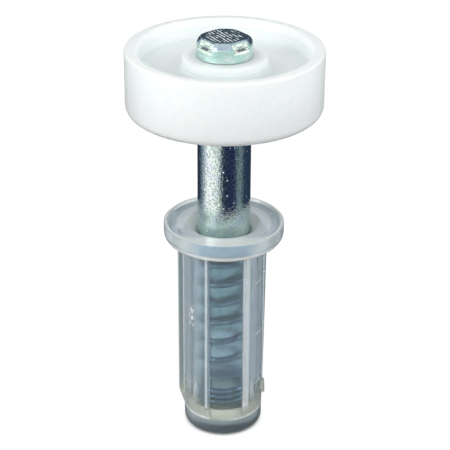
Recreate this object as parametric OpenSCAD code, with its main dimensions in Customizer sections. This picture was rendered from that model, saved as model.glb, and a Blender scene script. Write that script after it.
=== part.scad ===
// Spring-loaded top guide for a folding door: a nylon wheel on a steel pin that is sprung
// inside a ribbed plastic sleeve. The sleeve is pressed into a hole in the door's top edge,
// the flange rests on the door, and the wheel runs in the track above.
// Z is up, and the origin is on the axis at the level of the sleeve's lower rim.

/* [Sleeve] */
// Length from the lower rim to the top of the flange's lip
sleeve_len = 28; // [22:0.5:36]
// Wall between the bore and the outside of the core
sleeve_wall = 1.425; // [1:0.025:2]
// Thickness of the floor under the spring
floor_t = 1.8; // [1:0.1:3]
// Depth of the recess in the underside, below that floor
foot_recess = 1.5; // [0.5:0.1:3]
// Wall around that recess
foot_wall = 1.4; // [1.2:0.05:2]
// Rounding of the lower end
nose_r = 0.7; // [0.2:0.05:1.1]
// Rounding in the corner of the recess in the underside
foot_edge_r = 0.4; // [0.1:0.05:0.5]
// Width of the lead-in around the bore's mouth
mouth_flare = 1; // [0.3:0.05:1.3]
// Depth of that lead-in
mouth_depth = 1; // [0.3:0.05:1.5]

/* [Flange] */
// Overall thickness with its lip
flange_t = 2.4; // [1.6:0.1:4]
// How far the flange reaches past the ribs
flange_reach = 1.65; // [1.4:0.05:4]
// Rounding of the flange's lower edge
flange_edge_r = 1.1; // [0.3:0.05:1.3]
// Width of the raised lip
lip_w = 0.45; // [0.3:0.05:0.6]
// Height of the lip over the dished top
lip_h = 0.3; // [0.1:0.05:0.5]

/* [Ribs] */
// Direction of the mould's parting plane and its two ribs from +X, in degrees
parting_angle = 5; // [0:1:59]
// Direction of the front and rear ribs from the mould's pull, in degrees
rib_spread = 27; // [20:1:40]
// Width of a rib
rib_w = 0.5; // [0.3:0.05:1]
// How far a rib stands out of the core
rib_h = 0.725; // [0.3:0.025:1.2]
// Length of the smooth collar below the ribs
collar_len = 2.2; // [1.2:0.1:4]
// Length over which the lower end of a rib slopes in
rib_ramp = 2.3; // [1:0.1:4]
// How much lower the gate's rib stands at its top
low_rib_drop_top = 0.36; // [0:0.02:0.4]
// How much lower the gate's rib stands at its foot
low_rib_drop_foot = 0.6; // [0:0.02:0.65]
// Diameter of the moulding gate's stub
gate_d = 1.8; // [0.8:0.1:2.4]
// How far the stub stands out of the core
gate_h = 0.34; // [0.1:0.02:0.7]

/* [Pin] */
// Diameter of the pin
pin_d = 6.35; // [5:0.05:8]
// Clearance between the pin and the sleeve's bore, on the radius
pin_play = 0.275; // [0.1:0.025:0.4]
// Length of full-diameter pin inside the sleeve, with the wheel fully out
pin_bite = 3; // [2:0.1:6]
// Length of pin between the flange and the wheel
pin_reach = 14.3; // [12:0.1:24]
// Chamfer on the pin's lower shoulder and on the tip of its tail
pin_chamfer = 0.4; // [0.1:0.05:0.6]
// Gap between the tail's tip and the floor, with the wheel fully in
tip_gap = 0.6; // [0.4:0.1:2]

/* [Staked head] */
// Height of the head over the hub
head_h = 2.2; // [1.4:0.1:3]
// How far staking has spread the head past the pin, on the radius
head_spread = 0.075; // [0:0.025:0.3]
// Width of the bevel around the top
bevel_w = 0.85; // [0.4:0.05:1.2]
// Height of that bevel
bevel_h = 0.75; // [0.3:0.05:1]
// How far the bevel bulges past a straight one
bevel_bulge = 0.2; // [0.05:0.01:0.2]
// Number of stake marks
stake_count = 4; // [3:1:4]
// Direction of the first stake mark from +X, in degrees
stake_angle = 40; // [0:1:89]
// Width of a stake mark
stake_w = 2.5; // [1.5:0.1:3]
// Depth of its inner wall below the top
stake_wall_h = 0.75; // [0.4:0.05:0.9]
// Depth of its outer edge below the top
stake_drop = 1.15; // [0.9:0.05:1.4]
// Width of its sloping ledge
ledge_w = 0.5; // [0.3:0.05:0.7]

/* [Wheel] */
// Diameter of the tread
wheel_d = 23.1; // [19:0.1:30]
// Height of the wheel
wheel_h = 7.6; // [6:0.1:10]
// Thickness of the rim at its top edge
rim_t = 1.35; // [1:0.05:2]
// Rounding of the tread's lower edge
tread_edge_r = 1; // [0.4:0.05:1.2]
// Rounding of the top edges
top_edge_r = 0.3; // [0.1:0.05:0.4]
// Depth of the upper recess
recess_depth = 2.6; // [1.5:0.1:3]
// Thickness of the web between the two recesses
web_t = 1.8; // [1:0.1:2.5]
// How far the hub's top lies below the rim's
hub_inset = 0.9; // [0.4:0.1:1.2]
// Wall of the hub around its bore
hub_wall = 2.3; // [1.5:0.05:3]
// Taper of the recess walls, on the radius
recess_draft = 0.2; // [0:0.05:0.4]
// Rounding in the bottom corners of the recesses
recess_r = 0.5; // [0.2:0.05:0.55]
// Height of the step that carries the hub, on the radius
journal_step = 0.675; // [0.4:0.025:1]
// Clearance between the journal and the hub's bore, on the radius
journal_play = 0.075; // [0.03:0.005:0.1]
// Clearance of the hub along the pin, in all
end_play = 0.2; // [0.1:0.05:0.5]
// Chamfer at the ends of the hub's bore
bore_chamfer = 0.2; // [0.1:0.05:0.4]

/* [Spring] */
// Diameter of the wire
wire_d = 0.75; // [0.6:0.05:0.9]
// Rise of one open turn
spring_pitch = 2.64; // [2:0.02:3.2]
// Clearance between the spring and the bore, on the radius
spring_play = 0.275; // [0.2:0.025:0.4]
// Clearance between the spring and the pin's tail, on the radius
tail_play = 0.175; // [0.1:0.025:0.4]
// Closed turns at the lower end
closed_turns_low = 2.5; // [1:0.5:3]
// Closed turns at the upper end
closed_turns_top = 1; // [1:0.5:2]
// Air left between neighbouring turns with the wheel fully in
coil_gap = 0.25; // [0.1:0.05:0.4]
// Direction of the wire's lower end from +X, in degrees
spring_start = 123; // [0:1:359]

/* [Hidden] */
$fn = 96;

// Gap that parts two faces which bear on each other
seat_gap = 0.05;
// Straight steps in a rounded edge
edge_steps = 6;
// Corners of the wire's section, and sections in one turn of it
wire_sides = 8;
turn_steps = 24;
// Turns over which the wire goes from closed to open
spring_blend = 0.5;
// Air between closed turns, which leaves them separate
closed_gap = 0.03;

// Radii, from the pin outwards
pin_r = pin_d / 2;
bore_r = pin_r + pin_play;
core_r = bore_r + sleeve_wall;
rib_r = core_r + rib_h;
flange_r = rib_r + flange_reach;
mouth_r = bore_r + mouth_flare;
rib_root_r = core_r - sleeve_wall / 2;
foot_r = core_r - foot_wall;

// Directions of the ribs: one at each end of the parting plane, and two beside each pull
pull_angle = parting_angle + 90;
rib_angles = [
    parting_angle, pull_angle - rib_spread, pull_angle + rib_spread,
    parting_angle + 180, pull_angle + 180 - rib_spread, pull_angle + 180 + rib_spread
];

// Heights of the sleeve
floor_z = foot_recess + floor_t;
seat_z = sleeve_len - flange_t;
dish_z = sleeve_len - lip_h;
lip_chamfer = lip_w / 4;

// Heights of the pin and of the wheel on it
shoulder_z = sleeve_len - pin_bite;
carrier_z = sleeve_len + pin_reach - end_play / 2;
wheel_z = carrier_z + end_play / 2;
wheel_top_z = wheel_z + wheel_h;
hub_top_z = wheel_top_z - hub_inset;
head_z = hub_top_z + end_play / 2;
head_top_z = head_z + head_h;

// The wheel and the journal that it turns on
wheel_r = wheel_d / 2;
journal_r = pin_r - journal_step;
hub_bore_r = journal_r + journal_play;
hub_r = hub_bore_r + hub_wall;
rim_in_r = wheel_r - rim_t;
recess_z = wheel_top_z - recess_depth;
web_z = recess_z - web_t;

// The staked head
head_r = pin_r + head_spread;
head_face_r = head_r - bevel_w;
ledge_r = head_r - ledge_w;
bevel_chord = sqrt(bevel_w * bevel_w + bevel_h * bevel_h);
bevel_r = (bevel_chord * bevel_chord / 4 + bevel_bulge * bevel_bulge) / (2 * bevel_bulge);
bevel_from = atan2(bevel_w, bevel_h) - asin(bevel_chord / 2 / bevel_r);
bevel_to = atan2(bevel_w, bevel_h) + asin(bevel_chord / 2 / bevel_r);
bevel_centre = [head_r, head_top_z - bevel_h] - bevel_r * [cos(bevel_from), sin(bevel_from)];

// The spring, between the floor and the pin's shoulder
spring_r = bore_r - spring_play - wire_d / 2;
spring_len = shoulder_z - floor_z;
closed_pitch = wire_d + closed_gap;
coil_rise = spring_len - 2 * seat_gap - wire_d;
closed_turns = closed_turns_low + closed_turns_top + spring_blend;
spring_turns = (coil_rise + (spring_pitch - closed_pitch) * closed_turns) / spring_pitch;
pin_travel = spring_len - (spring_turns + 1) * wire_d - coil_gap * spring_turns;

// The tail that guides the spring
tail_r = spring_r - wire_d / 2 - tail_play;
tail_z = floor_z + pin_travel + tip_gap;

// Points along an arc, from one direction to another
function arc(centre, r, from, to) =
    [for (i = [0 : edge_steps])
        let (a = from + (to - from) * i / edge_steps)
        centre + r * [cos(a), sin(a)]];

// Turns gained by a pitch that opens over spring_blend turns
function opened(u) =
    u <= 0 ? 0 :
    u < spring_blend ? u * u / (2 * spring_blend) :
    u - spring_blend / 2;

// Height of the wire's middle after u turns
function coil_z(u) =
    floor_z + seat_gap + wire_d / 2 + closed_pitch * u
    + (spring_pitch - closed_pitch)
    * (opened(u - closed_turns_low) - opened(u - spring_turns + closed_turns_top + spring_blend));

// Corner k of the wire's section after u turns
function coil_point(u, k) =
    let (
        turn = spring_start + 360 * u,
        step = 0.01,
        slope = (coil_z(u + step) - coil_z(u - step)) / (2 * step * 2 * PI * spring_r),
        outward = [cos(turn), sin(turn), 0],
        upward = [slope * sin(turn), -slope * cos(turn), 1] / sqrt(1 + slope * slope),
        around = 360 * (k + 0.5) / wire_sides
    )
    outward * spring_r + [0, 0, coil_z(u)]
    + wire_d / 2 * (cos(around) * outward + sin(around) * upward);

module sleeve_body() {
    rotate_extrude()
        polygon(concat(
            [[0, foot_recess]],
            arc([foot_r - foot_edge_r, foot_recess - foot_edge_r], foot_edge_r, 90, 0),
            [[foot_r, 0]],
            arc([core_r - nose_r, nose_r], nose_r, -90, 0),
            [[core_r, seat_z]],
            arc([flange_r - flange_edge_r, seat_z + flange_edge_r], flange_edge_r, -90, 0),
            [
                [flange_r, sleeve_len - lip_chamfer],
                [flange_r - lip_chamfer, sleeve_len],
                [flange_r - lip_w + lip_chamfer, sleeve_len],
                [flange_r - lip_w, dish_z],
                [mouth_r, dish_z],
                [bore_r, dish_z - mouth_depth],
                [bore_r, floor_z],
                [0, floor_z]
            ]
        ));
}

// One rib, with its lower end sloping into the collar
module rib(drop_top, drop_foot) {
    bury = flange_t / 4;
    rotate([90, 0, 0])
        linear_extrude(rib_w, center = true)
            polygon([
                [rib_root_r, collar_len],
                [core_r, collar_len],
                [rib_r - drop_foot, collar_len + rib_ramp],
                [rib_r - drop_top, seat_z],
                [rib_r - drop_top, seat_z + bury],
                [rib_root_r, seat_z + bury]
            ]);
}

// The stub left where the plastic entered the mould
module gate_stub() {
    stub_len = core_r - rib_root_r + gate_h;
    translate([rib_root_r, 0, collar_len + gate_d / 2 + rib_ramp / 2])
        rotate([0, 90, 0])
            cylinder(h = stub_len, d = gate_d);
}

module sleeve() {
    color("lightsteelblue", 0.6)
        union() {
            sleeve_body();
            rotate([0, 0, rib_angles[0]])
                rib(low_rib_drop_top, low_rib_drop_foot);
            for (i = [1 : len(rib_angles) - 1])
                rotate([0, 0, rib_angles[i]])
                    rib(0, 0);
            rotate([0, 0, parting_angle])
                gate_stub();
        }
}

module spring() {
    rings = ceil(spring_turns * turn_steps);
    points = [
        for (i = [0 : rings], k = [0 : wire_sides - 1])
            coil_point(spring_turns * i / rings, k)
    ];
    sides = [
        for (i = [0 : rings - 1], k = [0 : wire_sides - 1])
            let (a = i * wire_sides, next = (k + 1) % wire_sides)
            [a + k, a + wire_sides + k, a + wire_sides + next, a + next]
    ];
    first_end = [for (k = [0 : wire_sides - 1]) k];
    last_end = [for (k = [wire_sides - 1 : -1 : 0]) rings * wire_sides + k];
    color("slategray")
        polyhedron(points = points, faces = concat([first_end], sides, [last_end]));
}

// The wedge that a stake has pressed out of the head's rim
module stake_mark() {
    past = head_r + ledge_w;
    slope = (stake_drop - stake_wall_h) / ledge_w;
    rotate([90, 0, 0])
        linear_extrude(stake_w, center = true)
            polygon([
                [head_face_r - ledge_w / 4, head_top_z + stake_wall_h / 4],
                [ledge_r, head_top_z - stake_wall_h],
                [past, head_top_z - stake_wall_h - slope * (past - ledge_r)],
                [past, head_top_z + stake_wall_h / 4]
            ]);
}

module pin() {
    color("silver")
        difference() {
            rotate_extrude()
                polygon(concat(
                    [
                        [0, tail_z],
                        [tail_r - pin_chamfer, tail_z],
                        [tail_r, tail_z + pin_chamfer],
                        [tail_r, shoulder_z],
                        [pin_r - pin_chamfer, shoulder_z],
                        [pin_r, shoulder_z + pin_chamfer],
                        [pin_r, carrier_z],
                        [journal_r, carrier_z],
                        [journal_r, head_z],
                        [head_r, head_z]
                    ],
                    arc(bevel_centre, bevel_r, bevel_from, bevel_to),
                    [[0, head_top_z]]
                ));
            for (i = [0 : stake_count - 1])
                rotate([0, 0, stake_angle + i * 360 / stake_count])
                    stake_mark();
        }
}

module wheel() {
    hub_foot_r = hub_r + recess_draft;
    rim_foot_r = rim_in_r - recess_draft;
    color("white")
        rotate_extrude()
            polygon(concat(
                [
                    [hub_bore_r, wheel_z + bore_chamfer],
                    [hub_bore_r + bore_chamfer, wheel_z],
                    [hub_r, wheel_z]
                ],
                arc([hub_foot_r + recess_r, web_z - recess_r], recess_r, 180, 90),
                arc([rim_foot_r - recess_r, web_z - recess_r], recess_r, 90, 0),
                [[rim_in_r, wheel_z]],
                arc([wheel_r - tread_edge_r, wheel_z + tread_edge_r], tread_edge_r, -90, 0),
                arc([wheel_r - top_edge_r, wheel_top_z - top_edge_r], top_edge_r, 0, 90),
                arc([rim_in_r + top_edge_r, wheel_top_z - top_edge_r], top_edge_r, 90, 180),
                arc([rim_foot_r - recess_r, recess_z + recess_r], recess_r, 0, -90),
                arc([hub_foot_r + recess_r, recess_z + recess_r], recess_r, 270, 180),
                arc([hub_r - top_edge_r, hub_top_z - top_edge_r], top_edge_r, 0, 90),
                [
                    [hub_bore_r + bore_chamfer, hub_top_z],
                    [hub_bore_r, hub_top_z - bore_chamfer]
                ]
            ));
}

sleeve();
spring();
pin();
wheel();
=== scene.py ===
import math
from types import SimpleNamespace

import bpy
import numpy as np
from mathutils import Matrix, Vector

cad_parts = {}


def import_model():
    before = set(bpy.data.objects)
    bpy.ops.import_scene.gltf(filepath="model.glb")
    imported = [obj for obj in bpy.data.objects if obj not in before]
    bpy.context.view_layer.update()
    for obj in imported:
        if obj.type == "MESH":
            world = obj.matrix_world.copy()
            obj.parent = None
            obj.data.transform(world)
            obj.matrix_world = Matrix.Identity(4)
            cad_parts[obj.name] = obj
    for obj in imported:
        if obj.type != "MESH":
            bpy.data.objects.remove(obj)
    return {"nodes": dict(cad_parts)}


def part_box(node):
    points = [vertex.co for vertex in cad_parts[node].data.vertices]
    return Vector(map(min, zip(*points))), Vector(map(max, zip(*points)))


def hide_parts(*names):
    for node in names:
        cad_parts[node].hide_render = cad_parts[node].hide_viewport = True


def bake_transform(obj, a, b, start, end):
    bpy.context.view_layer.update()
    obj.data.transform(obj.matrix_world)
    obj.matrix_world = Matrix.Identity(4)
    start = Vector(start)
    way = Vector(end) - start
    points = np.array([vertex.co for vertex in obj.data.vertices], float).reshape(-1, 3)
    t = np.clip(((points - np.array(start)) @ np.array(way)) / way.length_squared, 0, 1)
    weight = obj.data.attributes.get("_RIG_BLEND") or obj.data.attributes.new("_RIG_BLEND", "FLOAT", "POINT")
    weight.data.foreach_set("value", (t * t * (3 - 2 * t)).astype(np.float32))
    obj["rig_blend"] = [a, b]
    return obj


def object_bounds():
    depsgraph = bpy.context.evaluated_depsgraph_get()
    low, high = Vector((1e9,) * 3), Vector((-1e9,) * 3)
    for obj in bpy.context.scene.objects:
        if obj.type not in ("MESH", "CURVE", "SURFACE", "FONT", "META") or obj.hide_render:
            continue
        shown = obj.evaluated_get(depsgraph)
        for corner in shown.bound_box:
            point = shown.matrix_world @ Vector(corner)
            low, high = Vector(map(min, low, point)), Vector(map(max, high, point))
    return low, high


# Looks of a spring-loaded top guide for a folding door: a white nylon wheel on a plated steel
# pin, which is sprung inside a translucent ribbed sleeve. Lengths are metres in the CAD frame,
# apart from those that only materials use, which are millimetres, as their sections say.
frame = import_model()
cad_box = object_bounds()
nodes = frame["nodes"]
MM = 0.001

sleeve_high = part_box("sleeve")[1]
pin_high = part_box("pin")[1]
wheel_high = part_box("wheel")[1]
spring_low, spring_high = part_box("spring")

# Camera: where it aims, and from how far and how high it looks
AIM_BELOW_FLANGE = 0.742 * MM
CAMERA_DISTANCE = 183.07 * MM
CAMERA_PITCH = math.radians(26.563)
CAMERA_ROLL = math.radians(0.3)
CAMERA_LENS = 121.2
CAMERA_SENSOR = 36
CAMERA_SHIFT = 0.00256
CAMERA_NEAR = 0.01

# Studio
FLOOR_SIZE = 2.4
FLOOR_COLOUR = (0.20, 0.20, 0.20, 1)
FLOOR_LIFT = 0.84
SKY_LIGHT = 0.56
SKY_TINT = (0.98, 1.0, 1.0)

# The floor isn't lifted under the foot, so that no light shines up through it (millimetres)
FOOT_SHADE = (4.2, 5.1)

# Lamps: name, angle and height in degrees, distance, width, height, power in watts, and
# whether reflections show them
LAMPS = (
    ("left", -58, 16, 0.45, 0.30, 0.24, 1.10, True),
    ("front", 8, 14, 0.50, 0.30, 0.24, 0.55, False),
    ("right", 72, 16, 0.50, 0.30, 0.24, 1.07, False),
    ("back", 180, 18, 0.50, 0.30, 0.24, 0.50, False),
    ("top", 0, 84, 0.45, 0.40, 0.40, 0.36, False),
)

# Cards that show only in reflections: how high above the floor they start
CARD_LIFT = 0.3 * MM

# The dark card behind the object: its tones by the share of its height
BACK_DISTANCE = 0.90
BACK_HEIGHT = 0.80
BACK_TURN = math.radians(80)
BACK_SIDES = 24
BACK_TONES = (
    (0.00, (0.030, 0.038, 0.055)),
    (0.40, (0.090, 0.120, 0.150)),
    (0.80, (0.260, 0.280, 0.330)),
    (1.00, (0.400, 0.430, 0.480)),
)

# The ring on the table: its tones by degrees from the camera's side to the right
RING_NEAR = 5.2 * MM
RING_FAR = 0.9
RING_SIDES = 72
RING_TONES = (
    (-180, (0.022, 0.038, 0.062)),
    (-124, (0.020, 0.034, 0.058)),
    (-108, (0.20, 0.27, 0.33)),
    (-92, (0.36, 0.44, 0.48)),
    (-82, (0.98, 1.03, 1.04)),
    (-46, (0.98, 1.02, 1.00)),
    (-22, (0.62, 0.72, 0.67)),
    (-10, (0.024, 0.036, 0.072)),
    (50, (0.020, 0.032, 0.080)),
    (60, (0.165, 0.235, 0.245)),
    (78, (0.165, 0.235, 0.245)),
    (90, (0.026, 0.048, 0.092)),
    (180, (0.022, 0.038, 0.062)),
)

# In the sections below, a pair of sizes gives where a mask starts to change and where it is done,
# and three sizes give a band's two edges and how soft they are.

# The wheel (millimetres)
WHEEL_R = wheel_high.x / MM
RIM_INSIDE = (WHEEL_R - 1.3, WHEEL_R - 1.1)

# Colours of the wheel
NYLON_TONES = ((0.3, (0.86, 0.94, 0.92, 1)), (0.7, (0.90, 0.97, 0.95, 1)))
NYLON_RINGS = (0.74, 0.80, 0.80, 1)

# The sleeve as the CAD model has it: heights above its foot, radii, and the directions of three
# of its ribs (millimetres)
FLANGE_TOP = sleeve_high.z / MM
FLANGE_FOOT = FLANGE_TOP - 2.4
FLANGE_R = sleeve_high.x / MM
LIP_FOOT = FLANGE_TOP - 0.3
LIP_R = FLANGE_R - 0.45
RIB_R = 5.6
CORE_R = 4.875
BORE_R = 3.45
MOUTH_R = 4.45
RECESS = 1.5
BORE_FLOOR = 3.3
# The rib whose flanks face the left lamp and carry a painted highlight
LIT_FLANK_RIB = math.radians(302)
THIN_RIB = math.radians(248)
LOW_RIB = math.radians(5)

# Zones of the sleeve's bore, core and foot (millimetres)
INSIDE = (BORE_R + 0.05, BORE_R + 0.15)
OUTSIDE = (CORE_R - 0.3, CORE_R - 0.1)
BORE_FROM = (BORE_FLOOR - 0.2, BORE_FLOOR)
COLLAR_FROM = (RECESS - 0.3, RECESS + 0.2)
COLLAR_TO = (BORE_FLOOR - 0.3, BORE_FLOOR + 3.0)
FOOT_TO = (RECESS + 0.4, RECESS + 0.8)
# A painted highlight: a broken bright line round the foot at this height
FOOT_GLINT_BAND = (RECESS + 0.8, RECESS + 0.95, 0.2)
GLOW_BAND = (RECESS + 1.1, BORE_FLOOR, 0.5)
RECESS_BAND = (RECESS - 0.4, RECESS - 0.1, 0.1)
FROSTED_BORE_FROM = (BORE_FLOOR + 2.4, BORE_FLOOR + 3.6)
FROSTED_FOOT_TO = (BORE_FLOOR, BORE_FLOOR + 1.4)

# Zones of its flange (millimetres)
FLANGE_FROM = (FLANGE_FOOT - 0.05, FLANGE_FOOT + 0.05)
WALL_OUT = (FLANGE_R - 0.25, FLANGE_R - 0.05)
SIDE_BAND = (FLANGE_FOOT + 1.25, FLANGE_TOP - 0.1, 0.3)
# Where the flange's side turns from painted light to painted shade, towards its front
SIDE_SHADE_FORWARD = (5.6, 7.0)
LOW_EDGE_OUT = (RIB_R, RIB_R + 0.5)
LOW_EDGE_TO = (FLANGE_FOOT + 0.7, FLANGE_FOOT + 1.0)
TOP_FROM = (LIP_FOOT - 0.3, LIP_FOOT - 0.1)
# How far forward the painted pool of light on the flange's top starts and is full
POOL_FORWARD = (2.6, 5.0)
LIP_BAND = (LIP_R, FLANGE_R - 0.2, 0.15)
RING_BAND = (MOUTH_R, CORE_R + 0.6, 0.4)
MOUTH_TO = (MOUTH_R - 0.05, MOUTH_R + 0.1)

# Zones of its ribs (millimetres)
RIB_NEAR = (CORE_R - 0.3, CORE_R)
# A painted highlight where the ribs meet the core
ROOT_HIGHLIGHT_BAND = (CORE_R + 0.04, CORE_R + 0.10, 0.03)
FLANK_OUT = (CORE_R + 0.10, CORE_R + 0.22)
CREST_OUT = (RIB_R - 0.12, RIB_R - 0.04)
RIB_PALE_FROM = (BORE_FLOOR, BORE_FLOOR + 1.2)
LINE_ASIDE = (0.08, 0.18)
LOW_RIB_ASIDE = (0.3, 0.4)
RIB_FOOT_OUT = (CORE_R - 0.05, CORE_R + 0.05)
RIB_FOOT_FROM = (RECESS + 0.8, RECESS + 1.4)
RIB_FOOT_TO = (BORE_FLOOR + 0.6, BORE_FLOOR + 2.0)

# Marks on the sleeve (millimetres)
LINES_LOW = 6.5
LINES_STEP = 7.15
LINES_WIDTH = (0.03, 0.11)
LINES_SIDE = (3.5, 4.2)
NICK_PLACE = (-3.9, -3.0, 16.3)
NICK_SHAPE = (1.15, 1.15, 0.45)
NICK_EDGE = (0.4, 1.0)

# Colours of the sleeve
CLEAR_TONES = ((0.3, (0.48, 0.55, 0.62, 1)), (0.7, (0.54, 0.61, 0.66, 1)))
BORE_TONES = ((0.4, (0.62, 0.87, 0.86, 1)), (0.6, (0.58, 0.80, 0.93, 1)))
FLANGE_TONES = ((0.35, (0.56, 0.67, 0.73, 1)), (0.65, (0.68, 0.75, 0.85, 1)))
RIB_FLANK = (0.44, 0.51, 0.53, 1)
LOW_RIB_FLANK = (0.26, 0.32, 0.33, 1)
BESIDE_LINE = (0.46, 0.58, 0.66, 1)
COLLAR = (0.42, 0.46, 0.39, 1)
GLOW = (0.52, 0.55, 0.47, 1)
RIB_FOOT = (0.52, 0.56, 0.50, 1)
# Painted shade on the foot, up to just above its recess
FOOT_PAINTED_SHADE = (0.38, 0.47, 0.52, 1)
# A painted highlight: a white line along the edge of the recess's ceiling
RECESS_EDGE_HIGHLIGHT = (0.95, 0.96, 0.95, 1)
# Painted light and shade on the flange's side: pale around it, darker blue at its front
SIDE_PAINTED_LIGHT = (0.80, 0.88, 0.88, 1)
SIDE_PAINTED_SHADE = (0.47, 0.62, 0.76, 1)
# Milky plastic, which also carries the painted light on the flange's pale zones
MILKY_PAINTED_LIGHT = (0.93, 0.96, 0.94, 1)
# Worn rib crests, and the painted highlight on one rib's flanks and where the ribs meet the core
RUBBED_AND_HIGHLIGHT = (0.80, 0.84, 0.86, 1)
# Scuffs and pale lines on the sleeve, and the painted highlight round the foot
SCUFFS_AND_GLINT = (0.92, 0.95, 0.96, 1)

# Zones of the pin (millimetres)
HEAD_TOP = pin_high.z / MM
FACE_FROM = (HEAD_TOP - 0.06, HEAD_TOP - 0.02)
BEVEL_FROM = (HEAD_TOP - 0.80, HEAD_TOP - 0.50)
HEAD_FROM = (HEAD_TOP - 2.25, HEAD_TOP - 2.15)
GRAIN_FROM = (FLANGE_TOP + 0.5, FLANGE_TOP + 5.5)
# The pin's painted shade fades out between these heights above the flange
SLEEVE_SHADE_TO = (FLANGE_TOP + 0.8, FLANGE_TOP + 3.2)

# Stakes in the head's edge: the direction of one, the turn to the next, and how far out, to
# the sides and down they reach (millimetres)
STAKE_ANGLE = math.radians(40)
STAKE_TURN = math.radians(90)
STAKE_OUT = (2.45, 2.5)
STAKE_ASIDE = (1.15, 1.25)
STAKE_FROM = (HEAD_TOP - 1.3, HEAD_TOP - 1.2)

# Hatch marks left on the head's face (millimetres)
HATCH_ANGLE = math.radians(-32)
HATCH_SCALE = 0.72
HATCH_TO = (1.9, 2.4)

# Colours of the pin
PLATED_TONES = (
    (0.35, (0.82, 0.88, 0.96, 1)),
    (0.45, (0.92, 0.94, 0.92, 1)),
    (0.55, (0.86, 0.94, 0.90, 1)),
    (0.66, (0.88, 0.88, 0.96, 1)),
)
GRAIN_TONES = ((0.42, (0.50, 0.54, 0.53, 1)), (0.50, (1, 1, 1, 1)))
HEAD_SIDE_TONES = ((0.35, (0.76, 0.87, 0.83, 1)), (0.6, (0.54, 0.77, 0.72, 1)))
BEVEL_TONES = (
    (0.35, (0.30, 0.47, 0.55, 1)),
    (0.5, (0.48, 0.60, 0.66, 1)),
    (0.64, (0.38, 0.43, 0.57, 1)),
)
STAKE_TONES = (
    (0.38, (0.10, 0.11, 0.14, 1)),
    (0.45, (0.55, 0.60, 0.58, 1)),
    (0.54, (0.98, 0.96, 0.90, 1)),
)
STAKE_GREEN = (0.80, 0.92, 0.87, 1)
# Painted shade on the pin just above the sleeve's flange
SLEEVE_SHADE = (0.66, 0.77, 0.75, 1)
HEAD_FACE = (0.23, 0.34, 0.39, 1)
HATCH = (0.90, 0.96, 0.96, 1)

# Wire of the spring, with the turns that are closed and those over which the pitch opens
WIRE_D = 0.75 * MM
PITCH = 2.64 * MM
CLOSED_PITCH = 0.78 * MM
CLOSED_LOW = 2.5
CLOSED_TOP = 1.0
OPENING = 0.5
WIRE_START = math.radians(123)
WIRE_SIDES = 16
RINGS_PER_TURN = 48
SLOPE_STEP = 0.01
WIRE_TONES = ((0.3, (0.13, 0.19, 0.24, 1)), (0.7, (0.27, 0.34, 0.40, 1)))


# ---------------------------------------------------------------- material graphs

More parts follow.
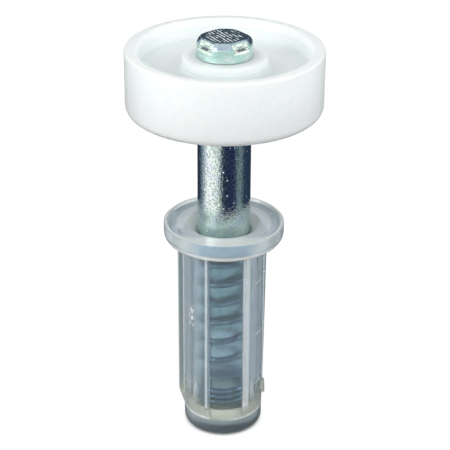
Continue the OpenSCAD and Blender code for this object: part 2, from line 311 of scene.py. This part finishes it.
class Graph:
    """A material's or world's node tree, with short calls to add nodes to it.

    A mask is a value from 0 to 1. Places inside a graph are in millimetres.
    """

    def __init__(self, owner):
        owner.use_nodes = True
        self.tree = owner.node_tree
        self.tree.nodes.clear()

    def fill(self, socket, value):
        """Links value to socket if it is a socket too, and sets it if it is a number or colour."""
        if isinstance(value, bpy.types.NodeSocket):
            self.tree.links.new(value, socket)
        else:
            socket.default_value = value

    def add(self, kind, sockets=None, **settings):
        """Adds a node, sets its settings, and fills its input sockets."""
        made = self.tree.nodes.new(kind)
        for name, value in settings.items():
            setattr(made, name, value)
        for name, value in (sockets or {}).items():
            self.fill(made.inputs[name], value)
        return made

    def maths(self, operation, a, b=0.0, clamp=False):
        made = self.add("ShaderNodeMath", {0: a, 1: b}, operation=operation, use_clamp=clamp)
        return made.outputs[0]

    def mix(self, factor, a, b, blend="MIX"):
        """A colour mix; a and b are colours or sockets."""
        made = self.add("ShaderNodeMix", data_type="RGBA", blend_type=blend)
        factor_in, a_in, b_in = (made.inputs[i] for i in (0, 6, 7))
        self.fill(factor_in, factor)
        self.fill(a_in, a)
        self.fill(b_in, b)
        return made.outputs[2]

    def place(self, scale=(1, 1, 1), rotation=(0, 0, 0)):
        """Object coordinates in millimetres, stretched by scale and turned by rotation."""
        coords = self.add("ShaderNodeTexCoord").outputs["Object"]
        mapping = self.add("ShaderNodeMapping", {
            "Vector": coords,
            "Scale": [s / MM for s in scale],
            "Rotation": rotation,
        })
        return mapping.outputs[0]

    def split(self, vector):
        return self.add("ShaderNodeSeparateXYZ", {0: vector}).outputs

    def join(self, x, y, z):
        return self.add("ShaderNodeCombineXYZ", {0: x, 1: y, 2: z}).outputs[0]

    def noise(self, vector, scale, detail=3.0, roughness=0.5):
        made = self.add("ShaderNodeTexNoise", {
            "Vector": vector, "Scale": scale, "Detail": detail, "Roughness": roughness,
        })
        return made.outputs["Fac"]

    def ramp(self, factor, stops):
        """A colour ramp from (position, colour) stops; a single number stands for a grey."""
        made = self.add("ShaderNodeValToRGB", {"Fac": factor})
        elements = made.color_ramp.elements
        while len(elements) < len(stops):
            elements.new(0.5)
        for element, (position, colour) in zip(elements, stops):
            element.position = position
            element.color = colour if hasattr(colour, "__len__") else grey(colour)
        return made.outputs[0]

    def both(self, *masks):
        """1 where every mask is. A number among them scales the result."""
        result = masks[0]
        for mask in masks[1:]:
            result = self.maths("MULTIPLY", result, mask)
        return result

    def either(self, *masks):
        """1 where any mask is."""
        result = masks[0]
        for mask in masks[1:]:
            result = self.maths("MAXIMUM", result, mask)
        return result

    def neither(self, mask):
        """1 where the mask is 0."""
        return self.maths("SUBTRACT", 1.0, mask)

    def total(self, start, *shares):
        """start, plus each value times its share."""
        result = start
        for value, share in shares:
            result = self.maths("ADD", result, self.maths("MULTIPLY", value, share))
        return result

    def step(self, value, low, high):
        """0 below low, 1 above high, and smooth between."""
        made = self.add("ShaderNodeMapRange", {
            "Value": value, "From Min": low, "From Max": high,
        }, interpolation_type="SMOOTHSTEP")
        return made.outputs[0]

    def fall(self, value, low, high):
        """1 below low, 0 above high, and smooth between."""
        return self.neither(self.step(value, low, high))

    def band(self, value, low, high, soft):
        """1 between low and high, and 0 elsewhere, with edges as wide as soft."""
        return self.both(self.step(value, low - soft, low), self.fall(value, high, high + soft))

    def radius(self, place):
        """The distance from the pin's axis."""
        x, y = self.split(place)[:2]
        return self.maths("SQRT", self.total(0.0, (x, x), (y, y)))

    def out_along(self, place, angle):
        """How far a point lies from the pin's axis towards angle."""
        x, y = self.split(place)[:2]
        return self.total(0.0, (x, math.cos(angle)), (y, math.sin(angle)))

    def off_to_the_side(self, place, angle):
        """How far a point lies to either side of the line from the pin's axis towards angle."""
        x, y = self.split(place)[:2]
        return self.maths("ABSOLUTE", self.total(0.0, (y, math.cos(angle)), (x, -math.sin(angle))))

    def bump(self, height, strength, distance, normal=None):
        """A normal from a height; distance is in metres, and normal is one to add it to."""
        sockets = {"Height": height, "Strength": strength, "Distance": distance}
        if normal is not None:
            sockets["Normal"] = normal
        return self.add("ShaderNodeBump", sockets).outputs[0]

    def glow(self, colour, strength=1.0):
        return self.add("ShaderNodeEmission", {"Color": colour, "Strength": strength}).outputs[0]

    def surface(self, shader, kind="ShaderNodeOutputMaterial"):
        self.add(kind, {"Surface": shader})


def grey(value):
    return (value, value, value, 1)


def solid(tones):
    """The stops of a ramp from (position, colour) pairs whose colours have no alpha."""
    return [(position, colour + (1,)) for position, colour in tones]


def new_graph(name):
    material = bpy.data.materials.new(name)
    return Graph(material), material


# ---------------------------------------------------------------- wheel

def nylon():
    """White nylon, moulded: translucent, with a soft gloss and the faint rings of a turned mould."""
    graph, material = new_graph("white_nylon_look")
    place = graph.place()
    grain = graph.noise(place, scale=1.4, detail=4)
    radius = graph.radius(place)
    section = graph.join(radius, 0.0, graph.split(place)["Z"])
    rings = graph.noise(section, scale=2.2, detail=2, roughness=0.6)
    turned = graph.both(graph.step(rings, 0.55, 0.62), graph.fall(radius, *RIM_INSIDE), 0.5)
    normal = graph.bump(graph.noise(place, scale=3.0), 0.12, 0.05 * MM)
    shader = graph.add("ShaderNodeBsdfPrincipled", {
        "Base Color": graph.mix(turned, graph.ramp(grain, NYLON_TONES), NYLON_RINGS),
        "Roughness": graph.ramp(grain, ((0.3, 0.28), (0.7, 0.38))),
        "Subsurface Weight": 1.0,
        "Subsurface Radius": (1.0, 1.0, 1.0),
        "Subsurface Scale": 2.5 * MM,
        "Normal": graph.bump(rings, 0.35, 0.06 * MM, normal),
    })
    graph.surface(shader.outputs[0])
    return material


# ---------------------------------------------------------------- pin

def head_hatch(graph, place):
    """Short strokes that the staking tool has left on the head's face."""
    waves = graph.add("ShaderNodeTexWave", {
        "Vector": graph.place(rotation=(0, 0, HATCH_ANGLE)),
        "Scale": HATCH_SCALE, "Distortion": 2.4, "Detail": 2.0, "Detail Scale": 1.1,
    }, wave_type="BANDS", bands_direction="X").outputs["Fac"]
    x = graph.split(place)["X"]
    patches = graph.step(graph.total(graph.noise(place, scale=1.3), (x, -0.03)), 0.40, 0.50)
    weight = graph.total(0.12, (patches, 0.88))
    middle = graph.fall(graph.radius(place), *HATCH_TO)
    return graph.both(graph.step(waves, 0.58, 0.80), weight, middle)


def stakes(graph, place, head):
    """A mask of the flats staked into the head's edge, and the colour of their crushed metal."""
    x, y, z = graph.split(place)
    radius = graph.radius(place)
    turned = graph.maths("SUBTRACT", graph.maths("ARCTAN2", y, x), STAKE_ANGLE)
    off = graph.maths("PINGPONG", turned, STAKE_TURN / 2)
    out = graph.maths("MULTIPLY", radius, graph.maths("COSINE", off))
    aside = graph.maths("MULTIPLY", radius, graph.maths("SINE", off))
    mask = graph.both(
        head,
        graph.step(out, *STAKE_OUT),
        graph.fall(aside, *STAKE_ASIDE),
        graph.step(z, *STAKE_FROM),
    )
    crushed = graph.join(out, graph.maths("MULTIPLY", aside, 0.25), z)
    tint = graph.ramp(graph.noise(crushed, scale=3.4, roughness=0.6), STAKE_TONES)
    greener = graph.step(graph.noise(place, scale=0.5, detail=1), 0.46, 0.58)
    return mask, graph.mix(greener, tint, STAKE_GREEN, "MULTIPLY")


def plating(graph, place):
    """The colour of the plating: faint tints, a fine dark grain, and a painted shade on the end near the
    sleeve.
    """
    z = graph.split(place)["Z"]
    tint = graph.ramp(graph.noise(place, scale=0.6, detail=2), PLATED_TONES)
    grain = graph.ramp(graph.noise(place, scale=4.2, roughness=0.65), GRAIN_TONES)
    grainy = graph.total(0.55, (graph.step(z, *GRAIN_FROM), 0.45))
    tint = graph.mix(grainy, tint, grain, "MULTIPLY")
    # Painted shade: the pin darkens towards the flange
    return graph.mix(graph.fall(z, *SLEEVE_SHADE_TO), tint, SLEEVE_SHADE, "MULTIPLY")


def zinc_relief(graph, place, pits):
    """Pits, fine grain, drawn streaks and a few specks."""
    streaks = graph.noise(graph.place(scale=(6.0, 6.0, 0.35)), scale=1.0, roughness=0.6)
    cells = graph.add("ShaderNodeTexVoronoi", {"Vector": place, "Scale": 2.2}).outputs
    few = graph.step(graph.split(cells["Color"])["X"], 0.30, 0.95)
    specks = graph.both(graph.fall(cells["Distance"], 0.05, 0.24), few)
    normal = graph.bump(pits, 1.0, 0.040 * MM)
    normal = graph.bump(graph.noise(place, scale=6.0, roughness=0.6), 1.0, 0.014 * MM, normal)
    normal = graph.bump(streaks, 1.0, 0.015 * MM, normal)
    return graph.bump(specks, 1.0, 0.05 * MM, normal)


def zinc():
    """Bright zinc plating on drawn rod, with tool marks on the head."""
    graph, material = new_graph("zinc_look")
    place = graph.place()
    z = graph.split(place)["Z"]
    face = graph.step(z, *FACE_FROM)
    bevel = graph.step(z, *BEVEL_FROM)
    head = graph.step(z, *HEAD_FROM)
    stake, stake_tint = stakes(graph, place, head)
    hatch = graph.both(head_hatch(graph, place), face)

    colour = plating(graph, place)
    layers = (
        (head, graph.ramp(graph.noise(place, scale=0.9, detail=1), HEAD_SIDE_TONES)),
        (bevel, graph.ramp(graph.noise(place, scale=0.7, detail=1), BEVEL_TONES)),
        (face, HEAD_FACE),
        (stake, stake_tint),
        (hatch, HATCH),
    )
    for mask, paint in layers:
        colour = graph.mix(mask, colour, paint)

    pits = graph.noise(place, scale=3.2, roughness=0.6)
    rough = graph.ramp(pits, ((0.35, 0.05), (0.75, 0.14)))
    head_edge = graph.maths("SUBTRACT", head, face)
    shader = graph.add("ShaderNodeBsdfPrincipled", {
        "Base Color": colour,
        "Metallic": graph.total(1.0, (hatch, -0.8), (stake, -0.6)),
        "Roughness": graph.total(rough, (head_edge, 0.16), (hatch, 0.40), (stake, 0.20)),
        "Normal": zinc_relief(graph, place, pits),
    })
    graph.surface(shader.outputs[0])
    return material


# ---------------------------------------------------------------- spring wire

def wire():
    """Dark spring steel wire."""
    graph, material = new_graph("spring_wire_look")
    place = graph.place()
    shader = graph.add("ShaderNodeBsdfPrincipled", {
        "Base Color": graph.ramp(graph.noise(place, scale=2.0), WIRE_TONES),
        "Metallic": 1.0,
        "Roughness": 0.34,
        "Normal": graph.bump(graph.noise(place, scale=7.0, detail=2), 0.2, 0.02 * MM),
    })
    graph.surface(shader.outputs[0])
    return material


# ---------------------------------------------------------------- sleeve

def add_body_zones(graph, place, zone):
    """Zones of the bore, the core and the foot."""
    z = zone.z
    inside = graph.fall(zone.radius, *INSIDE)
    outside = graph.step(zone.radius, *OUTSIDE)
    zone.bore = graph.both(inside, graph.step(z, *BORE_FROM))
    zone.collar = graph.both(graph.step(z, *COLLAR_FROM), graph.fall(z, *COLLAR_TO))
    # Painted shade: the foot, up to just above its recess, is painted darker
    zone.foot = graph.both(outside, graph.fall(z, *FOOT_TO))
    # A painted highlight: a broken bright line round the foot
    zone.foot_line = graph.both(
        outside,
        graph.band(z, *FOOT_GLINT_BAND),
        graph.step(graph.noise(place, scale=0.35, detail=1), 0.38, 0.60),
    )
    zone.glow = graph.both(outside, graph.band(z, *GLOW_BAND))
    # A painted highlight along the edge of the recess's ceiling
    zone.recess_edge = graph.both(inside, graph.band(z, *RECESS_BAND))
    zone.frosted_bore = graph.both(zone.bore, graph.step(z, *FROSTED_BORE_FROM))
    zone.frosted_foot = graph.both(outside, graph.fall(z, *FROSTED_FOOT_TO))


def add_flange_zones(graph, zone):
    """Zones of the flange. Where it is pale, it is milky and carries painted light: a pool on the front of
    the top, and a glow on the lip, around the mouth and on the low edge. Its side is painted light around it
    and with darker blue shade at its front.
    """
    z, radius = zone.z, zone.radius
    wall = graph.both(zone.flange, graph.step(radius, *WALL_OUT))
    zone.side = graph.both(wall, graph.band(z, *SIDE_BAND))
    # Painted shade on the side's front
    zone.side_in_front = graph.step(zone.forward, *SIDE_SHADE_FORWARD)

    top = graph.step(z, *TOP_FROM)
    # A painted pool of light on the front of the top
    lit_pool_in_front = graph.both(top, graph.step(zone.forward, *POOL_FORWARD), graph.neither(zone.side))
    lip = graph.both(top, graph.band(radius, *LIP_BAND))
    ring = graph.both(top, graph.band(radius, *RING_BAND))
    mouth = graph.both(zone.flange, graph.fall(radius, *MOUTH_TO))
    # A painted glow on the flange's low edge
    low_edge = graph.both(
        zone.flange, graph.step(radius, *LOW_EDGE_OUT), graph.fall(z, *LOW_EDGE_TO),
    )
    # Painted light, where the plastic is also milkier: the pool in front, and a glow on the lip, on the ring
    # and mouth around the pin, and on the low edge
    zone.pale = graph.either(
        graph.both(lit_pool_in_front, 0.9), graph.both(lip, 0.85), graph.both(ring, 0.50), mouth, low_edge,
    )


def add_rib_zones(graph, place, zone):
    """Zones of the ribs. Their crests are worn pale, one only along a thin line. One rib's flanks, which
    face the left lamp, carry a painted highlight, as does a thin line where the ribs meet the core.
    """
    z, radius = zone.z, zone.radius
    zone.flank = graph.both(zone.below, graph.step(radius, *FLANK_OUT))
    low = graph.fall(graph.off_to_the_side(place, LOW_RIB), *LOW_RIB_ASIDE)
    zone.low_rib = graph.both(zone.flank, low)
    beside = graph.both(
        graph.step(graph.out_along(place, THIN_RIB), *RIB_NEAR),
        graph.step(graph.off_to_the_side(place, THIN_RIB), *LINE_ASIDE),
    )
    zone.beside_line = graph.both(zone.flank, beside)
    zone.rib_foot = graph.both(
        graph.step(radius, *RIB_FOOT_OUT), graph.step(z, *RIB_FOOT_FROM), graph.fall(z, *RIB_FOOT_TO),
    )

    crest = graph.both(zone.below, graph.step(radius, *CREST_OUT), graph.neither(beside))
    # Painted highlight on the flanks of the rib that faces the left lamp
    lit_flank = graph.both(zone.flank, graph.step(graph.out_along(place, LIT_FLANK_RIB), *RIB_NEAR))
    # Painted highlight where the ribs meet the core
    root_highlight = graph.both(zone.below, graph.band(radius, *ROOT_HIGHLIGHT_BAND), 0.6)
    zone.rib = graph.both(graph.either(crest, lit_flank, root_highlight), graph.step(z, *RIB_PALE_FROM))


def side_lines(graph, place):
    """Thin pale lines at even heights, on the sleeve's right side only."""
    along = graph.split(place)
    above = graph.maths("SUBTRACT", along["Z"], LINES_LOW)
    off = graph.maths("PINGPONG", above, LINES_STEP / 2)
    return graph.both(graph.fall(off, *LINES_WIDTH), graph.step(along["X"], *LINES_SIDE))


def nick(graph, place):
    """A small scuffed dent."""
    off = graph.add("ShaderNodeVectorMath", {0: place, 1: NICK_PLACE}, operation="SUBTRACT")
    off = graph.add("ShaderNodeVectorMath", {0: off.outputs[0], 1: NICK_SHAPE}, operation="MULTIPLY")
    off = graph.add("ShaderNodeVectorMath", {0: off.outputs[0]}, operation="LENGTH")
    ragged = graph.step(graph.noise(place, scale=2.2), 0.46, 0.58)
    return graph.both(graph.fall(off.outputs["Value"], *NICK_EDGE), ragged)


def sleeve_zones(graph, place):
    """Where on the sleeve a point lies: each zone is a mask, 1 there and 0 elsewhere."""
    y, z = graph.split(place)[1:]
    zone = SimpleNamespace(z=z, radius=graph.radius(place))
    zone.forward = graph.maths("MULTIPLY", y, -1.0)
    zone.flange = graph.step(z, *FLANGE_FROM)
    zone.below = graph.neither(zone.flange)
    add_body_zones(graph, place, zone)
    add_flange_zones(graph, zone)
    add_rib_zones(graph, place, zone)
    # Pale lines at even heights on the right side
    lines = graph.both(side_lines(graph, place), 0.6)
    zone.marks = graph.both(zone.below, graph.either(lines, nick(graph, place)))
    return zone


def sleeve_colour(graph, place, zone):
    """The plastic's colour, laid on from the clear core to the marks."""
    colour = graph.ramp(graph.noise(place, scale=0.8), CLEAR_TONES)
    layers = (
        (zone.flank, RIB_FLANK),
        (zone.low_rib, LOW_RIB_FLANK),
        (zone.beside_line, BESIDE_LINE),
        (zone.collar, COLLAR),
        (zone.glow, GLOW),
        (zone.rib_foot, RIB_FOOT),
        # painted shade on the foot
        (zone.foot, FOOT_PAINTED_SHADE),
        (zone.bore, graph.ramp(graph.noise(place, scale=0.35, detail=1), BORE_TONES)),
        (zone.recess_edge, RECESS_EDGE_HIGHLIGHT),
        (zone.flange, graph.ramp(graph.noise(place, scale=0.6, detail=2), FLANGE_TONES)),
        (zone.side, graph.mix(zone.side_in_front, SIDE_PAINTED_LIGHT, SIDE_PAINTED_SHADE)),
        (zone.pale, MILKY_PAINTED_LIGHT),
        (zone.rib, RUBBED_AND_HIGHLIGHT),
        (graph.either(zone.marks, zone.foot_line), SCUFFS_AND_GLINT),
    )
    for mask, paint in layers:
        colour = graph.mix(mask, colour, paint)
    return colour


def clear_plastic():
    """Natural translucent plastic: clear over the spring, milky in the flange, worn pale on the ribs'
    crests, with painted light on the flange and ribs and painted shade at the foot and the flange's front.
    """
    graph, material = new_graph("clear_plastic_look")
    place = graph.place()
    zone = sleeve_zones(graph, place)
    haze = graph.total(
        0.12,
        (zone.flange, 0.32),
        (zone.flank, 0.12),
        (zone.side, 0.04),
        (zone.bore, -0.08),
        (zone.pale, 0.46),
        (zone.rib, 0.37),
        (zone.beside_line, 0.16),
        (zone.glow, 0.14),
        (zone.rib_foot, 0.30),
        (zone.recess_edge, 0.60),
        (zone.marks, 0.50),
        (zone.foot_line, 0.30),
    )
    shader = graph.add("ShaderNodeBsdfPrincipled", {
        "Base Color": sleeve_colour(graph, place, zone),
        "Roughness": graph.total(0.10, (zone.frosted_bore, 0.25), (zone.frosted_foot, 0.32)),
        "IOR": 1.49,
        "Transmission Weight": graph.maths("SUBTRACT", 1.0, haze, clamp=True),
        "Normal": graph.bump(graph.noise(place, scale=0.9, detail=2), 0.06, 0.05 * MM),
    })
    graph.surface(shader.outputs[0])
    return material


# ---------------------------------------------------------------- studio

def seen(graph):
    """1 for rays from the camera, through clear plastic and off gloss, and 0 for the rest."""
    path = graph.add("ShaderNodeLightPath").outputs
    return graph.either(path["Is Camera Ray"], path["Is Transmission Ray"], path["Is Glossy Ray"])


def on_floor(name, points, faces, material, lift=0.0):
    """Adds a mesh of the studio at the floor's height, raised by lift."""
    mesh = bpy.data.meshes.new(name)
    mesh.from_pydata(points, [], faces)
    mesh.materials.append(material)
    made = bpy.data.objects.new(name, mesh)
    made.location.z = cad_box[0][2] + lift
    bpy.context.collection.objects.link(made)
    return made


def floor():
    """A pale table, white where it is seen, that keeps the object's shadow."""
    graph, material = new_graph("studio_floor")
    plain = graph.add("ShaderNodeBsdfDiffuse", {"Color": FLOOR_COLOUR}).outputs[0]
    beside = graph.step(graph.radius(graph.place()), *FOOT_SHADE)
    lift = graph.glow(grey(1), graph.both(seen(graph), beside, FLOOR_LIFT))
    graph.surface(graph.add("ShaderNodeAddShader", {0: plain, 1: lift}).outputs[0])
    half = FLOOR_SIZE / 2
    corners = [(-half, -half, 0), (half, -half, 0), (half, half, 0), (-half, half, 0)]
    table = on_floor("floor", corners, [(0, 1, 2, 3)], material)


def mirror_card(name, points, faces, tone):
    """A card that shows only in reflections. tone gives its colour from the card's own graph."""
    graph, material = new_graph(name)
    graph.surface(graph.glow(tone(graph)))
    card = on_floor(name, points, faces, material, CARD_LIFT)
    for kind in ("camera", "diffuse", "transmission", "shadow", "volume_scatter"):
        setattr(card, "visible_" + kind, False)


def ring_card():
    """A ring on the table, with the dark and bright tones of a room around the object."""
    points, faces = [], []
    for i in range(RING_SIDES):
        angle = 2 * math.pi * i / RING_SIDES
        direction = Vector((math.sin(angle), -math.cos(angle), 0))
        points += [direction * RING_NEAR, direction * RING_FAR]
        a, b = 2 * i, 2 * ((i + 1) % RING_SIDES)
        faces.append((a, a + 1, b + 1, b))

    def tone(graph):
        x, y = graph.split(graph.place())[:2]
        angle = graph.maths("ARCTAN2", x, graph.maths("MULTIPLY", y, -1.0))
        turn = graph.maths("ADD", graph.maths("DIVIDE", angle, 2 * math.pi), 0.5)
        return graph.ramp(turn, solid((0.5 + degrees / 360, colour) for degrees, colour in RING_TONES))

    mirror_card("table_tones", points, faces, tone)


def back_card():
    """A dark curved card behind the object, which its level faces reflect."""
    points, faces = [], []
    for i in range(BACK_SIDES + 1):
        angle = BACK_TURN * (2 * i / BACK_SIDES - 1)
        foot = Vector((math.sin(angle), math.cos(angle), 0)) * BACK_DISTANCE
        points += [foot, foot + Vector((0, 0, BACK_HEIGHT))]
        if i:
            faces.append((2 * i - 2, 2 * i, 2 * i + 1, 2 * i - 1))

    def tone(graph):
        height = graph.split(graph.place())["Z"]
        return graph.ramp(graph.maths("DIVIDE", height, BACK_HEIGHT / MM), solid(BACK_TONES))

    mirror_card("back_card", points, faces, tone)


def world():
    """White where it is seen, and an even light for the rest."""
    made = bpy.data.worlds.new("studio")
    graph = Graph(made)
    even = tuple(SKY_LIGHT * tint for tint in SKY_TINT) + (1,)
    colour = graph.mix(seen(graph), even, grey(1))
    background = graph.add("ShaderNodeBackground", {"Color": colour}).outputs[0]
    graph.surface(background, "ShaderNodeOutputWorld")
    bpy.context.scene.world = made


def lamp(name, angle_deg, height_deg, distance, width, height, power, mirrored):
    """A soft box, aimed at the flange. Its angle runs from the camera's side to the right."""
    data = bpy.data.lights.new(name, "AREA")
    data.shape = "RECTANGLE"
    data.size, data.size_y = width, height
    data.energy = power
    made = bpy.data.objects.new(name, data)
    angle, up = math.radians(angle_deg), math.radians(height_deg)
    target = Vector((0, 0, sleeve_high.z))
    level = Vector((math.sin(angle), -math.cos(angle), 0))
    offset = level * math.cos(up) + Vector((0, 0, math.sin(up)))
    made.location = target + offset * distance
    made.rotation_euler = (-offset).to_track_quat("-Z", "Y").to_euler()
    made.visible_glossy = mirrored
    bpy.context.collection.objects.link(made)


def camera():
    data = bpy.data.cameras.new("camera")
    data.lens = CAMERA_LENS
    data.sensor_width = CAMERA_SENSOR
    data.shift_x = CAMERA_SHIFT
    data.clip_start = CAMERA_NEAR
    made = bpy.data.objects.new("camera", data)
    aim = Vector((0, 0, sleeve_high.z - AIM_BELOW_FLANGE))
    back = Vector((0, -math.cos(CAMERA_PITCH), math.sin(CAMERA_PITCH)))
    made.location = aim + back * CAMERA_DISTANCE
    turn = (-back).to_track_quat("-Z", "Y").to_matrix().to_4x4()
    made.rotation_euler = (turn @ Matrix.Rotation(CAMERA_ROLL, 4, "Z")).to_euler()
    bpy.context.collection.objects.link(made)
    bpy.context.scene.camera = made


# ---------------------------------------------------------------- pieces

def opened(turns):
    """Turns gained by a pitch that opens over OPENING turns."""
    if turns <= 0:
        return 0.0
    if turns < OPENING:
        return turns * turns / (2 * OPENING)
    return turns - OPENING / 2


def tube_faces(rings, sides):
    """The faces of a tube with closed ends, of rings + 1 rings of points."""
    faces = [tuple(range(sides))]
    for i in range(rings):
        for k in range(sides):
            ring, after = i * sides, (k + 1) % sides
            faces.append((ring + k, ring + sides + k, ring + sides + after, ring + after))
    faces.append(tuple(rings * sides + k for k in reversed(range(sides))))
    return faces


def spring():
    """The wire with its closed ends. Its open turns close up evenly as the pin goes down."""
    radius = spring_high.x - WIRE_D / 2
    rise = spring_high.z - spring_low.z - WIRE_D
    extra = PITCH - CLOSED_PITCH
    turns = (rise + extra * (CLOSED_LOW + CLOSED_TOP + OPENING)) / PITCH

    def height(u):
        gained = opened(u - CLOSED_LOW) - opened(u - turns + CLOSED_TOP + OPENING)
        return spring_low.z + WIRE_D / 2 + CLOSED_PITCH * u + extra * gained

    rings = math.ceil(turns * RINGS_PER_TURN)
    low, high = height(CLOSED_LOW), height(turns - CLOSED_TOP)
    points, weights = [], []
    for i in range(rings + 1):
        u = turns * i / rings
        angle = WIRE_START + 2 * math.pi * u
        run = 2 * SLOPE_STEP * 2 * math.pi * radius
        slope = (height(u + SLOPE_STEP) - height(u - SLOPE_STEP)) / run
        outward = Vector((math.cos(angle), math.sin(angle), 0))
        upward = Vector((slope * math.sin(angle), -slope * math.cos(angle), 1)).normalized()
        middle = outward * radius + Vector((0, 0, height(u)))
        for k in range(WIRE_SIDES):
            around = 2 * math.pi * k / WIRE_SIDES
            points.append(middle + WIRE_D / 2 * (math.cos(around) * outward + math.sin(around) * upward))
            weights.append(min(1, max(0, (height(u) - low) / (high - low))))

    mesh = bpy.data.meshes.new("spring_coil")
    mesh.from_pydata(points, [], tube_faces(rings, WIRE_SIDES))
    mesh.shade_smooth()
    mesh.materials.append(wire())
    coil = bpy.data.objects.new("spring_coil", mesh)
    bpy.context.collection.objects.link(coil)
    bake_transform(coil, "sleeve", "pin", start=(0, 0, low), end=(0, 0, high))
    mesh.attributes["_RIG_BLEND"].data.foreach_set("value", np.array(weights, np.float32))
    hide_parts("spring")


def repaint(node, material):
    for slot in nodes[node].material_slots:
        slot.material = material


camera()
world()
floor()
for settings in LAMPS:
    lamp(*settings)
ring_card()
back_card()

spring()
repaint("wheel", nylon())
repaint("pin", zinc())
repaint("sleeve", clear_plastic())

bpy.context.scene.view_settings.view_transform = "Standard"
